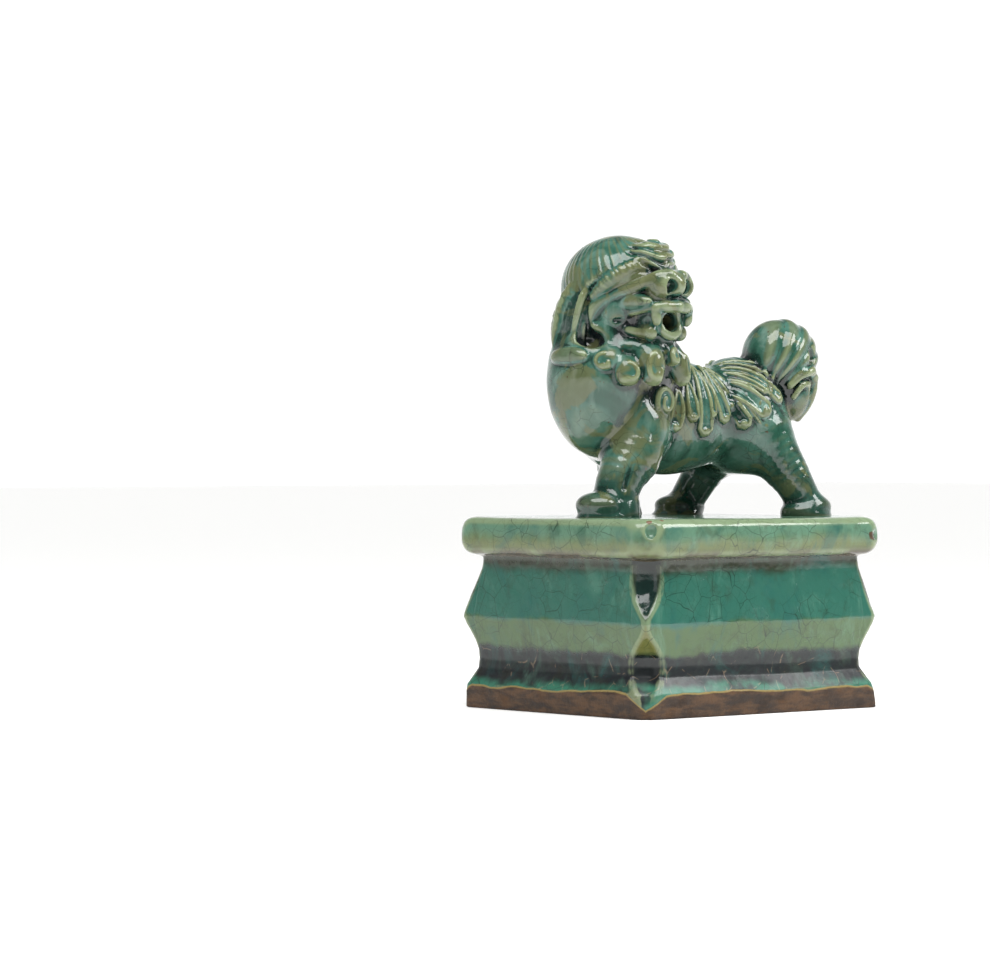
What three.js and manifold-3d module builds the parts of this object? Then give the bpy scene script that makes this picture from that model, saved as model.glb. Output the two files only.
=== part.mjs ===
// A green-glazed earthenware foo dog standing on a waisted, slab-built plinth.
// Millimetres, +Z up. The origin is the centre of the plinth's foot. The dog walks towards -X and turns its
// head to its left, so that its face looks along -Y, over the long front panel of the plinth.
// Every mesh is one piece of clay, as it was pressed, rolled or cut before the pieces were luted together.
import * as THREE from 'three';
import { mergeVertices } from 'three/addons/utils/BufferGeometryUtils.js';
import Module from 'manifold-3d';

const wasm = await Module();
wasm.setup();

// Driving dimensions of the plinth: half length and half width at its widest belly, and its heights.
const halfLength = 67.2;
const halfWidth = 58.5;
const deck = 82.5;
const slabUnder = 65;
const wall = 8;
const waist = 2; // how far the wall draws in at its two necks
const luting = 0.3; // the slip-filled joint left between neighbouring pieces

// The dog's main sizes.
const barrel = { z: 124.5, height: 25, width: 21.5 };
const bodyWall = 6;
const skull = { at: [-32, -2, 177], radii: [22, 24, 21.5] };
const skullWall = 7;

// Outline of a wall: height, how far it stands out from the belly line, and the width of the corner facet.
const wallProfile = [
  { z: 0, out: 1, facet: 9 },
  { z: 3, out: 3.2, facet: 11 },
  { z: 11, out: 4, facet: 12 },
  { z: 17, out: 0.6, facet: 12 },
  { z: 24, out: -waist, facet: 12 },
  { z: 33, out: -1.2, facet: 7 },
  { z: 42, out: 0, facet: 1.5 },
  { z: 52, out: -1.1, facet: 7 },
  { z: 62, out: -waist, facet: 12 },
  { z: slabUnder - luting, out: -1.6, facet: 12 },
];

// Outline of the rolled edge of the top slab: a half round a little flattened on top.
const slabProfile = [];
const slabRound = { out: 2.8, bite: 7, facet: 8, steps: 6 };
for (let i = 0; i <= slabRound.steps; i++) {
  const turn = (Math.PI * i) / slabRound.steps - Math.PI / 2;
  slabProfile.push({
    z: (deck + slabUnder) / 2 + ((deck - slabUnder) / 2) * Math.sin(turn),
    out: slabRound.out - slabRound.bite * (1 - Math.cos(turn)),
    facet: slabRound.facet,
  });
}

// --- Solids ------------------------------------------------------------------------------------------------

// A three.js geometry as a manifold solid, placed by a matrix.
function solidOf(geometry, matrix = new THREE.Matrix4()) {
  const bare = geometry.index ? geometry.toNonIndexed() : geometry.clone();
  const placed = new THREE.BufferGeometry()
    .setAttribute('position', bare.getAttribute('position'))
    .applyMatrix4(matrix);
  const merged = mergeVertices(placed, 1e-4);
  return new wasm.Manifold(new wasm.Mesh({
    numProp: 3,
    vertProperties: merged.attributes.position.array,
    triVerts: new Uint32Array(merged.index.array),
  }));
}

function union(solids) {
  return solids.reduce((sum, next) => sum.add(next));
}

// An ellipsoid of clay, thickened on every side by grow and turned about Z by turn degrees.
function ball({ at, radii, turn = 0, fine = 9 }, grow = 0) {
  const matrix = new THREE.Matrix4().compose(
    new THREE.Vector3(...at),
    new THREE.Quaternion().setFromAxisAngle(new THREE.Vector3(0, 0, 1), THREE.MathUtils.degToRad(turn)),
    new THREE.Vector3(...radii.map((r) => Math.max(r + grow, 0.5))),
  );
  return solidOf(new THREE.SphereGeometry(1, fine, Math.round(fine * 0.7)), matrix);
}

// A rolled limb: tapered round links from knuckle to knuckle, each knuckle given as [x, y, z, radius].
function limb({ knuckles, fine = 6 }, grow = 0) {
  const links = [];
  const capSteps = 2;
  for (let i = 0; i + 1 < knuckles.length; i++) {
    const [low, high] = [knuckles[i], knuckles[i + 1]];
    const from = new THREE.Vector3(...low);
    const along = new THREE.Vector3(...high).sub(from);
    const [r0, r1] = [low[3] + grow, high[3] + grow];
    const length = along.length();
    const lean = Math.asin(THREE.MathUtils.clamp((r0 - r1) / length, -0.95, 0.95));
    const outline = [];
    for (let k = 0; k <= capSteps; k++) {
      const a = -Math.PI / 2 + ((Math.PI / 2 + lean) * k) / capSteps;
      outline.push(new THREE.Vector2(Math.max(r0 * Math.cos(a), 0), r0 * Math.sin(a)));
    }
    for (let k = 0; k <= capSteps; k++) {
      const a = lean + ((Math.PI / 2 - lean) * k) / capSteps;
      outline.push(new THREE.Vector2(Math.max(r1 * Math.cos(a), 0), length + r1 * Math.sin(a)));
    }
    outline[0].x = 0;
    outline[outline.length - 1].x = 0;
    const upright = new THREE.Vector3(0, 1, 0);
    const matrix = new THREE.Matrix4().compose(
      from,
      new THREE.Quaternion().setFromUnitVectors(upright, along.clone().normalize()),
      new THREE.Vector3(1, 1, 1),
    );
    links.push(solidOf(new THREE.LatheGeometry(outline, fine), matrix));
  }
  return union(links);
}

// A form is a list of balls and limbs; grown, it is the same form thickened all round.
function form(blobs, grow = 0) {
  return union(blobs.map((blob) => (blob.knuckles ? limb(blob, grow) : ball(blob, grow))));
}

function box(low, high) {
  const size = high.map((h, i) => h - low[i]);
  const middle = high.map((h, i) => (h + low[i]) / 2);
  const matrix = new THREE.Matrix4().makeTranslation(...middle);
  return solidOf(new THREE.BoxGeometry(...size), matrix);
}

// --- Plinth ------------------------------------------------------------------------------------------------

// A flat outline drawn as [across, up] points and extruded at right angles to the direction across.
// The middle of its length lies shift to the side of the origin.
function extrudeAlong(points, across, length, shift = 0) {
  const shape = new THREE.Shape(points.map(([x, y]) => new THREE.Vector2(x, y)));
  const geometry = new THREE.ExtrudeGeometry(shape, { depth: length, bevelEnabled: false });
  geometry.translate(0, 0, shift - length / 2);
  const side = new THREE.Vector3(across[0], across[1], 0).normalize();
  const up = new THREE.Vector3(0, 0, 1);
  const matrix = new THREE.Matrix4().makeBasis(side, up, new THREE.Vector3().crossVectors(side, up));
  return solidOf(geometry, matrix);
}

// A mitred rectangular moulding: the profile run along both sides, with a facet planed off each corner.
function moulding(profile) {
  const run = (half, across) => extrudeAlong([
    ...profile.map((p) => [half + p.out, p.z]),
    ...profile.toReversed().map((p) => [-half - p.out, p.z]),
  ], across, 4 * halfLength);
  let block = run(halfLength, [1, 0]).intersect(run(halfWidth, [0, 1]));
  for (const [sx, sy] of [[1, 1], [1, -1], [-1, 1], [-1, -1]]) {
    const facetLine = profile.map((p) => [
      (halfLength + halfWidth + 2 * p.out) / Math.SQRT2 - p.facet / 2, p.z,
    ]);
    const [lowest, highest] = [facetLine[0], facetLine.at(-1)];
    const clear = 5;
    const beyond = [
      [lowest[0], lowest[1] - clear],
      ...facetLine,
      [highest[0], highest[1] + clear],
      [2 * halfLength, highest[1] + clear],
      [2 * halfLength, lowest[1] - clear],
    ];
    block = block.subtract(extrudeAlong(beyond, [sx, sy], 2 * halfWidth));
  }
  return block;
}

// The open space under the slab, inside the walls.
const inner = { x: halfLength - waist - wall, y: halfWidth - waist - wall };
const shell = moulding(wallProfile).subtract(box([-inner.x, -inner.y, -1], [inner.x, inner.y, deck]));

// The strip of clay that closes each mitred corner, as a square post standing on the corner's diagonal.
const stripHalf = 6.2;
function cornerPost(sx, sy, grow) {
  const far = 110;
  const near = (inner.x + inner.y) / Math.SQRT2 - 2 * luting;
  const post = [[near, -1], [far, -1], [far, deck], [near, deck]];
  const shift = (sx * sy * (halfLength - halfWidth)) / Math.SQRT2;
  return extrudeAlong(post, [sx, sy], 2 * (stripHalf + grow), shift);
}
const corners = {
  front_head: [-1, -1], front_tail: [1, -1], back_head: [-1, 1], back_tail: [1, 1],
};

// --- The dog's forms ---------------------------------------------------------------------------------------

const body = [
  { at: [-42, 0, 140], radii: [22, 21, 33], fine: 12 },
  { at: [-6, 0, 125], radii: [46, 20, 25], fine: 12 },
  { at: [38, 0, 126], radii: [24, 22, 25.5], fine: 12 },
  { at: [-36, -2, 158], radii: [19, 19, 16] },
];

const legs = {
  front_left: [[-33, -12, 118, 12], [-43, -15.5, 100, 9.5], [-46, -16, 88, 8.6]],
  front_right: [[-20, 12, 118, 11], [-17, 14, 100, 8.5], [-15, 14.5, 88, 7.6]],
  rear_left: [[43, -13, 114, 12], [53, -20.5, 99, 8], [59, -24.5, 88, 6.8]],
  rear_right: [[40, 13, 114, 12], [36, 19.5, 99, 8.5], [31, 24, 88, 7.6]],
};

const paws = {
  front_left: { at: [-53.5, -16, 87.6], radii: [9.5, 9.5, 5.2] },
  front_right: { at: [-20, 14.5, 86.6], radii: [9.5, 8.5, 4.4] },
  rear_left: { at: [58, -25, 86.6], radii: [9.5, 8.5, 4.4] },
  rear_right: { at: [27, 24.5, 86.6], radii: [10, 8.5, 4.4] },
};

const head = [
  { ...skull, fine: 12 },
  { at: [-30.5, -24, 176], radii: [12.5, 14, 9] },
  { at: [-43, -13, 168], radii: [9, 12, 12] },
  { at: [-20, -13, 168], radii: [9, 12, 12] },
];
const jaw = [{ at: [-30.5, -24, 157.5], radii: [12, 12, 6.5] }];
const mouth = [{ at: [-30.5, -30, 165], radii: [7, 20, 3.6] }];

// Mirrors a blob across the middle plane of the face, which stands at the head's own X.
const faceMiddle = -30.5;
function mirrored(blob) {
  if (blob.knuckles) {
    return { ...blob, knuckles: blob.knuckles.map(([x, y, z, r]) => [2 * faceMiddle - x, y, z, r]) };
  }
  return { ...blob, at: [2 * faceMiddle - blob.at[0], blob.at[1], blob.at[2]], turn: -(blob.turn ?? 0) };
}

const faceRight = {
  ear: { knuckles: [[-54, -4, 181, 3.4], [-57, 1, 172, 4.6], [-56.5, 4, 158, 4.2]] },
  brow: { knuckles: [[-51.5, -13, 182, 2.6], [-45, -23, 186, 3.2], [-37, -27.5, 189, 2.6]] },
  eye: { at: [-42.5, -23, 181], radii: [4, 3.4, 3.2] },
  lip_roll: { knuckles: [[-46.5, -20, 168, 3], [-43.5, -29, 170.5, 3.4], [-37, -36, 173, 3]] },
  cheek_fold: { knuckles: [[-50, -15, 178, 2.6], [-53, -14, 170, 3.2], [-49.5, -16, 161, 3]] },
};

const nose = { at: [-30.5, -36.5, 180], radii: [8.5, 5.5, 4.6] };
const hairCap = [{ at: [-32, 2, 181.5], radii: [23.5, 24.5, 21], fine: 12 }];
// The cap of hair lies above a plane that rises from the nape to the brow.
const hairSpace = solidOf(
  new THREE.BoxGeometry(120, 120, 60),
  new THREE.Matrix4().compose(
    new THREE.Vector3(-32, 8, 206),
    new THREE.Quaternion().setFromEuler(new THREE.Euler(-0.42, 0, 0)),
    new THREE.Vector3(1, 1, 1),
  ),
);
const forelock = [{ at: [-31, -20, 192], radii: [9, 8, 7] }];

// Beard curls stand in a ring under the jaw, from below one ear round to the other.
const beard = {
  count: 6, centre: [-31, -8], radius: [23, 22], from: 205, to: 335, z: 147, size: [6.2, 5.4, 6.6],
};
const beardCurls = Array.from({ length: beard.count }, (_, i) => {
  const step = (beard.to - beard.from) / (beard.count - 1);
  const angle = THREE.MathUtils.degToRad(beard.from + step * i);
  return {
    at: [
      beard.centre[0] + beard.radius[0] * Math.cos(angle),
      beard.centre[1] + beard.radius[1] * Math.sin(angle),
      beard.z,
    ],
    radii: beard.size,
    turn: THREE.MathUtils.radToDeg(angle) + 90,
  };
});

const shoulderCurl = { at: [-23, -21, 131], radii: [6.5, 5, 8.5] };

// Mane locks lie over the barrel. Each runs from beside the spine to its rounded end:
// [start x, start angle, end x, end angle, end radius], angles measured in degrees down from the spine.
const locks = [
  [-14, 48, -16, 97, 3.6],
  [-6, 40, -3, 92, 3.2],
  [2, 30, 7, 103, 4],
  [10, 30, 18, 86, 3.6],
  [16, 24, 28, 94, 3.8],
  [24, 20, 39, 82, 3.8],
  [32, 14, 50, 66, 3.4],
];
const lockStem = 2.2;
function lockAlong([x0, a0, x1, a1, size], side) {
  const knuckles = [0, 0.5, 1].map((t) => {
    const angle = THREE.MathUtils.degToRad(a0 + (a1 - a0) * t);
    return [
      x0 + (x1 - x0) * t * t,
      -side * (barrel.width + 0.6) * Math.sin(angle),
      barrel.z + (barrel.height + 0.6) * Math.cos(angle),
      lockStem + (size - lockStem) * t,
    ];
  });
  return { knuckles };
}

const tailPlume = [
  { at: [55, -7, 151], radii: [15, 15.5, 17.5] },
  { at: [59, -8, 142], radii: [11, 12, 14] },
];
const tailTip = [{ knuckles: [[63, -8, 134, 6.4], [65.5, -8, 126, 3.6]] }];

// --- Assembly ----------------------------------------------------------------------------------------------

const clays = {
  teal: { color: 0x2f7d68, roughness: 0.18, metalness: 0 },
  leaf: { color: 0x7f9a5e, roughness: 0.2, metalness: 0 },
  deep: { color: 0x18463d, roughness: 0.16, metalness: 0 },
};
const statue = new THREE.Group();
const placed = [];

function addMesh(name, clay, solid) {
  const mesh = solid.getMesh();
  const geometry = new THREE.BufferGeometry();
  geometry.setAttribute('position', new THREE.BufferAttribute(mesh.vertProperties, 3));
  geometry.setIndex(new THREE.BufferAttribute(mesh.triVerts, 1));
  geometry.computeVertexNormals();
  const made = new THREE.Mesh(geometry, new THREE.MeshStandardMaterial(clays[clay]));
  made.name = name;
  statue.add(made);
}

function overlaps(a, b) {
  return [0, 1, 2].every((i) => a.min[i] < b.max[i] && b.min[i] < a.max[i]);
}

// Takes away whatever the pieces that are already in place fill, with the luting gap round them.
function clearOfPlaced(solid) {
  const near = placed.filter((grown) => overlaps(solid.boundingBox(), grown.boundingBox()));
  return near.reduce((rest, grown) => rest.subtract(grown), solid);
}

// A cut can leave a crumb behind another piece; only the main lump is kept.
function largest(solid) {
  return solid.decompose().sort((a, b) => b.volume() - a.volume())[0];
}

// Adds one solid piece of clay, fitted against the pieces already in place.
function addPiece(name, clay, blobs, trim = (solid) => solid) {
  addMesh(name, clay, largest(clearOfPlaced(trim(form(blobs)))));
  placed.push(trim(form(blobs, luting)));
}

// The two press-moulded halves of a hollow form, parted on a plane across the given axis.
function addHalves(names, clay, outer, hollow, axis, seam) {
  const low = [-200, -200, -200];
  const high = [200, 200, 400];
  const below = box(low, high.map((h, i) => (i === axis ? seam - luting / 2 : h)));
  const above = box(low.map((l, i) => (i === axis ? seam + luting / 2 : l)), high);
  const whole = clearOfPlaced(outer.subtract(hollow));
  addMesh(names[0], clay, largest(whole.intersect(below)));
  addMesh(names[1], clay, largest(whole.intersect(above)));
}

// The plinth: a rolled top slab, four moulded panels and a strip of clay in each corner.
addMesh('plinth_top_slab', 'leaf', moulding(slabProfile));
const panelSpace = {
  front: [[-200, -200, -5], [200, -inner.y, 200]],
  back: [[-200, inner.y, -5], [200, 200, 200]],
  head_end: [[-200, -inner.y, -5], [-inner.x, inner.y, 200]],
  tail_end: [[inner.x, -inner.y, -5], [200, inner.y, 200]],
};
for (const [side, [low, high]] of Object.entries(panelSpace)) {
  let panel = shell.intersect(box(low, high));
  for (const [sx, sy] of Object.values(corners)) panel = panel.subtract(cornerPost(sx, sy, luting));
  addMesh(`plinth_${side}_panel`, 'teal', largest(panel));
}
for (const [place, [sx, sy]] of Object.entries(corners)) {
  addMesh(`corner_strip_${place}`, 'deep', largest(shell.intersect(cornerPost(sx, sy, 0))));
}
placed.push(box([-halfLength, -halfWidth, slabUnder], [halfLength, halfWidth, deck + luting]));

// The hollow body, in a left and a right half, and the hollow head on top of it.
addHalves(['body_left_half', 'body_right_half'], 'teal', form(body), form(body, -bodyWall), 1, 0);
placed.push(form(body, luting));
const headHollow = form([skull], -skullWall).add(form(mouth));
addHalves(['head_right_half', 'head_left_half'], 'teal', form(head), headHollow, 0, faceMiddle);
placed.push(form(head, luting).subtract(form(mouth)));

for (const [name, knuckles] of Object.entries(legs)) addPiece(`leg_${name}`, 'teal', [{ knuckles, fine: 8 }]);
for (const [name, paw] of Object.entries(paws)) addPiece(`paw_${name}`, 'leaf', [paw]);

addPiece('forelock', 'leaf', forelock);
addPiece('hair_cap', 'teal', hairCap, (solid) => solid.intersect(hairSpace));
addPiece('nose', 'deep', [nose]);
addPiece('lower_jaw', 'leaf', jaw, (solid) => solid.subtract(form(mouth)));
for (const [name, blob] of Object.entries(faceRight)) {
  const clay = name === 'lip_roll' ? 'leaf' : 'teal';
  addPiece(`${name}_right`, clay, [blob]);
  addPiece(`${name}_left`, clay, [mirrored(blob)]);
}
beardCurls.forEach((curl, i) => addPiece(`beard_curl_${i + 1}`, 'leaf', [curl]));

addPiece('tail_plume', 'teal', tailPlume);
addPiece('tail_tip', 'leaf', tailTip);
const [curlX, curlY, curlZ] = shoulderCurl.at;
addPiece('shoulder_curl_left', 'leaf', [shoulderCurl]);
addPiece('shoulder_curl_right', 'leaf', [{ ...shoulderCurl, at: [curlX, -curlY, curlZ] }]);
locks.forEach((lock, i) => {
  addPiece(`mane_lock_left_${i + 1}`, 'leaf', [lockAlong(lock, 1)]);
  if (i > 0) addPiece(`mane_lock_right_${i + 1}`, 'leaf', [lockAlong(lock, -1)]);
});

export default statue;
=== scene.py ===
# A green-glazed foo dog on its plinth: clay pieces, crackled glaze and a plain studio.
# Shapes are worked in millimetres in the frame's own axes and turned into metres when a piece is made.
import bpy
import math
import numpy as np
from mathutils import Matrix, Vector


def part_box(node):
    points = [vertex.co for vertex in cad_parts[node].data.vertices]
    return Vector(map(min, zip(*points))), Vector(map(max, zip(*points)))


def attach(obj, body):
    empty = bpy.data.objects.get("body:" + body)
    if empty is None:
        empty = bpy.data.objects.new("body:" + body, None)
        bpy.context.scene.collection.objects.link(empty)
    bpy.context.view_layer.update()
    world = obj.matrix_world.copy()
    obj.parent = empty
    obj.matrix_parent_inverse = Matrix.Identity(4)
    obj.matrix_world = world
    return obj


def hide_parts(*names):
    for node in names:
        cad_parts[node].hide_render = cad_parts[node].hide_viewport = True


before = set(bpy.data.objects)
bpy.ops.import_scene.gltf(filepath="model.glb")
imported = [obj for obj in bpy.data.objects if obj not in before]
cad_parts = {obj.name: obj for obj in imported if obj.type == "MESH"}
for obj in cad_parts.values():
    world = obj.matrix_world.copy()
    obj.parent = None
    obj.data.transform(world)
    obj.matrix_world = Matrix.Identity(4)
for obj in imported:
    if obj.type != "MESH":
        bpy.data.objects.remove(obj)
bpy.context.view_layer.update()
perMetre = 1000.0


def corners(node):
    low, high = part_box(node)
    return np.array(low) * perMetre, np.array(high) * perMetre


def middle(node):
    low, high = corners(node)
    return (low + high) / 2


# A shape is (distance function, lowest corner, highest corner). Its distances are negative inside.

def lump(centre, radii, turn=0.0):
    # An ellipsoid of clay, turned about Z by so many degrees.
    centre = np.array(centre, float)
    radii = np.array(radii, float)
    c, s = math.cos(math.radians(turn)), math.sin(math.radians(turn))
    axes = np.array([[c, s, 0], [-s, c, 0], [0, 0, 1]])
    reach = np.sqrt(((axes.T * radii) ** 2).sum(1))

    def distance(x, y, z):
        px, py, pz = x - centre[0], y - centre[1], z - centre[2]
        near = far = 0.0
        for axis, r in zip(axes, radii):
            along = (axis[0] * px + axis[1] * py + axis[2] * pz) / r
            near = near + along ** 2
            far = far + (along / r) ** 2
        near = np.sqrt(near)
        return near * (near - 1) / np.sqrt(far + 1e-9)

    return distance, centre - reach, centre + reach


def rope(points, radii, flatWay=None, flatness=1.0):
    # A rolled coil of clay along a path, thinned by flatness along the direction flatWay.
    points = np.array(points, float)
    radii = np.interp(np.linspace(0, 1, len(points)), np.linspace(0, 1, len(radii)), radii)
    flat = None if flatWay is None else np.array(flatWay, float) / np.linalg.norm(flatWay)

    def distance(x, y, z):
        best = None
        for a, b, ra, rb in zip(points[:-1], points[1:], radii[:-1], radii[1:]):
            d = b - a
            px, py, pz = x - a[0], y - a[1], z - a[2]
            t = np.clip((px * d[0] + py * d[1] + pz * d[2]) / max(d @ d, 1e-6), 0, 1)
            qx, qy, qz = px - t * d[0], py - t * d[1], pz - t * d[2]
            square = qx * qx + qy * qy + qz * qz
            if flat is not None:
                across = qx * flat[0] + qy * flat[1] + qz * flat[2]
                square = square + (flatness ** 2 - 1) * across ** 2
            away = np.sqrt(square) - (ra + t * (rb - ra))
            best = away if best is None else np.minimum(best, away)
        return best

    reach = radii.max()
    return distance, points.min(0) - reach, points.max(0) + reach


def block(centre, half, radius, turn=0.0):
    # A box with rounded edges, turned about Z.
    centre, half = np.array(centre, float), np.array(half, float)
    c, s = math.cos(math.radians(turn)), math.sin(math.radians(turn))

    def distance(x, y, z):
        px, py, pz = x - centre[0], y - centre[1], z - centre[2]
        qx = np.abs(c * px + s * py) - half[0] + radius
        qy = np.abs(c * py - s * px) - half[1] + radius
        qz = np.abs(pz) - half[2] + radius
        outside = np.sqrt(np.maximum(qx, 0) ** 2 + np.maximum(qy, 0) ** 2 + np.maximum(qz, 0) ** 2)
        return outside + np.minimum(np.maximum(np.maximum(qx, qy), qz), 0) - radius

    reach = np.array([math.hypot(half[0], half[1])] * 2 + [half[2]])
    return distance, centre - reach, centre + reach


def smooth(points, count):
    # A smooth path of count points through the given ones.
    points = np.array(points, float)
    padded = np.vstack([2 * points[0] - points[1], points, 2 * points[-1] - points[-2]])
    out = []
    for t in np.linspace(0, len(points) - 1 - 1e-6, count):
        i, f = int(t), t - int(t)
        p0, p1, p2, p3 = padded[i:i + 4]
        out.append(0.5 * (2 * p1 + (p2 - p0) * f + (2 * p0 - 5 * p1 + 4 * p2 - p3) * f ** 2
                          + (3 * p1 - p0 - 3 * p2 + p3) * f ** 3))
    return np.array(out)


def join(a, b, blend):
    # The union of two distances, with a fillet of the given size.
    if blend <= 0:
        return np.minimum(a, b)
    h = np.maximum(blend - np.abs(a - b), 0)
    return np.minimum(a, b) - h * h / (4 * blend)


def cut(a, b, blend):
    # The first distance with the second taken out of it, and the edge rounded.
    return -join(-a, b, blend)


class Clay:
    # A block of space in which clay is built up, then divided into pieces.
    def __init__(self, low, high, step):
        self.low = np.array(low, float)
        self.step = step
        self.count = np.ceil((np.array(high) - self.low) / step).astype(int) + 1
        self.surface = np.full(self.count, 30.0, np.float32)  # distance to the clay: none is near yet
        self.nearest = np.full(self.count, 6.0, np.float32)  # distance to the nearest piece's own shapes
        self.second = np.full(self.count, 6.0, np.float32)  # and to the next nearest piece's
        self.owner = np.zeros(self.count, np.int16)  # the nearest piece, counted from 1
        self.made = {}  # the shapes of each piece

    def window(self, low, high, margin):
        a = np.clip(np.floor((low - margin - self.low) / self.step).astype(int), 0, self.count - 1)
        b = np.clip(np.ceil((high + margin - self.low) / self.step).astype(int) + 1, 1, self.count)
        spans = tuple(slice(i, j) for i, j in zip(a, b))
        axes = [self.low[k] + self.step * np.arange(a[k], b[k], dtype=np.float32) for k in range(3)]
        return spans, axes[0][:, None, None], axes[1][None, :, None], axes[2][None, None, :]

    def add(self, node, shape, blend=1.0):
        self.divide(shape, blend, {node: None})

    def divide(self, shape, blend, shares):
        # One form shared between pieces: each has a function that is negative on its side, or None for all.
        distance, low, high = shape
        spans, x, y, z = self.window(low, high, max(4.0, blend + 1))
        d = distance(x, y, z).astype(np.float32)
        self.surface[spans] = join(self.surface[spans], d, blend)
        for node, side in shares.items():
            self.made.setdefault(node, []).append((distance, low, high, side))
            own = d if side is None else np.maximum(d, side(x, y, z)).astype(np.float32)
            self.claim(node, spans, own)

    def claim(self, node, spans, d):
        # Notes which piece is nearest, and how far the next one is.
        index = list(self.made).index(node) + 1
        near, second, owner = self.nearest[spans], self.second[spans], self.owner[spans]
        mine = owner == index
        wins = d < near
        second[wins & ~mine] = near[wins & ~mine]
        lesser = ~wins & ~mine & (d < second)
        second[lesser] = d[lesser]
        near[wins] = d[wins]
        owner[wins] = index

    def carve(self, shape, blend=1.0):
        distance, low, high = shape
        spans, x, y, z = self.window(low, high, 4.0)
        self.surface[spans] = cut(self.surface[spans], distance(x, y, z), blend)

    def ripple(self, low, high, height):
        # Adds a height, in millimetres, to the surface inside a box.
        spans, x, y, z = self.window(np.array(low, float), np.array(high, float), 0)
        self.surface[spans] -= height(x, y, z).astype(np.float32)

    def blurred(self, radius):
        # The surface after two box blurs: what stands proud of it is a ridge, what lies under it a hollow.
        field = np.clip(self.surface, -5, 5)
        reach = max(int(round(radius / self.step)), 1)
        for axis in range(3):
            for _ in range(2):
                padded = np.concatenate([np.repeat(np.take(field, [0], axis), reach + 1, axis), field,
                                         np.repeat(np.take(field, [-1], axis), reach, axis)], axis)
                sums = np.cumsum(padded, axis, dtype=np.float32)
                width = 2 * reach + 1
                ahead = [slice(None)] * 3
                behind = [slice(None)] * 3
                ahead[axis] = slice(width, None)
                behind[axis] = slice(0, -width)
                field = (sums[tuple(ahead)] - sums[tuple(behind)]) / width
        return field

    def sample(self, field, points):
        # The field at each point, weighed from its eight neighbours.
        g = (points - self.low) / self.step
        i = np.clip(np.floor(g).astype(int), 0, self.count - 2)
        f = g - i
        total = 0
        for dx in (0, 1):
            for dy in (0, 1):
                for dz in (0, 1):
                    weight = (np.abs(1 - dx - f[:, 0]) * np.abs(1 - dy - f[:, 1]) * np.abs(1 - dz - f[:, 2]))
                    total = total + weight * field[i[:, 0] + dx, i[:, 1] + dy, i[:, 2] + dz]
        return total

    def piece(self, node, overlap=2.5, dip=0.3):
        # The node's share of the clay. Past its own edge it dips under its neighbours, so no joint shows.
        parts = self.made[node]
        low = np.min([p[1] for p in parts], 0)
        high = np.max([p[2] for p in parts], 0)
        spans, x, y, z = self.window(low, high, overlap + 1.5)
        own = None
        for distance, _, _, side in parts:
            d = distance(x, y, z).astype(np.float32)
            if side is not None:
                d = np.maximum(d, side(x, y, z))
            own = d if own is None else np.minimum(own, d)
        index = list(self.made).index(node) + 1
        mine = self.owner[spans] == index
        rival = np.where(mine, self.second[spans], self.nearest[spans])
        border = own - rival
        field = np.maximum(self.surface[spans] + dip * np.maximum(border, 0), border - overlap)
        start = self.low + self.step * np.array([s.start for s in spans])
        return netted(field, start, self.step)


def netted(field, start, step):
    # Surface nets: one point in each cell that the surface crosses, joined by four-sided faces.
    field = np.pad(field, 1, constant_values=5.0)
    start = start - step
    inside = field < 0
    shape = np.array(field.shape) - 1
    count = np.zeros(shape, np.uint8)
    offsets = [(a, b, c) for a in (0, 1) for b in (0, 1) for c in (0, 1)]
    for a, b, c in offsets:
        count += inside[a:a + shape[0], b:b + shape[1], c:c + shape[2]]
    cells = np.argwhere((count > 0) & (count < 8))
    number = np.full(shape, -1, np.int32)
    number[tuple(cells.T)] = np.arange(len(cells))
    value = {o: field[tuple((cells + o).T)] for o in offsets}
    total = np.zeros((len(cells), 3))
    hits = np.zeros(len(cells))
    for o in offsets:
        for axis in range(3):
            if o[axis]:
                continue
            far = tuple(v + (k == axis) for k, v in enumerate(o))
            v0, v1 = value[o], value[far]
            crossing = (v0 < 0) != (v1 < 0)
            t = v0[crossing] / (v0[crossing] - v1[crossing])
            spot = np.tile(np.array(o, float), (len(t), 1))
            spot[:, axis] = t
            total[crossing] += spot
            hits[crossing] += 1
    points = start + step * (cells + total / hits[:, None])
    faces = []
    for axis in range(3):
        u, v = (axis + 1) % 3, (axis + 2) % 3
        here = [slice(1, None)] * 3
        there = [slice(1, None)] * 3
        here[axis] = slice(0, -1)
        first, then = inside[tuple(here)], inside[tuple(there)]
        edges = np.argwhere(first != then)
        enters = then[tuple(edges.T)]
        base = edges.copy()
        base[:, u] += 1
        base[:, v] += 1
        ring = []
        for du, dv in ((-1, -1), (0, -1), (0, 0), (-1, 0)):
            cell = base.copy()
            cell[:, u] += du
            cell[:, v] += dv
            ring.append(cell)
        keep = np.ones(len(edges), bool)
        for cell in ring:
            keep &= (cell < shape).all(1)
        quad = np.stack([number[tuple(np.minimum(c, shape - 1).T)] for c in ring], 1)
        quad[enters] = quad[enters][:, ::-1]
        faces.append(quad[keep])
    return points, np.vstack(faces)


def mainShell(points, faces):
    # Keeps the biggest connected body and drops crumbs.
    label = np.arange(len(points))
    while True:
        low = label[faces].min(1)
        new = label.copy()
        for k in range(4):
            np.minimum.at(new, faces[:, k], low)
        new = new[new]
        if (new == label).all():
            break
        label = new
    names, sizes = np.unique(label, return_counts=True)
    keep = label == names[sizes.argmax()]
    renumber = np.cumsum(keep) - 1
    return points[keep], renumber[faces[keep[faces[:, 0]]]]


def placed(name, data):
    item = bpy.data.objects.new(name, data)
    bpy.context.scene.collection.objects.link(item)
    return item


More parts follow.
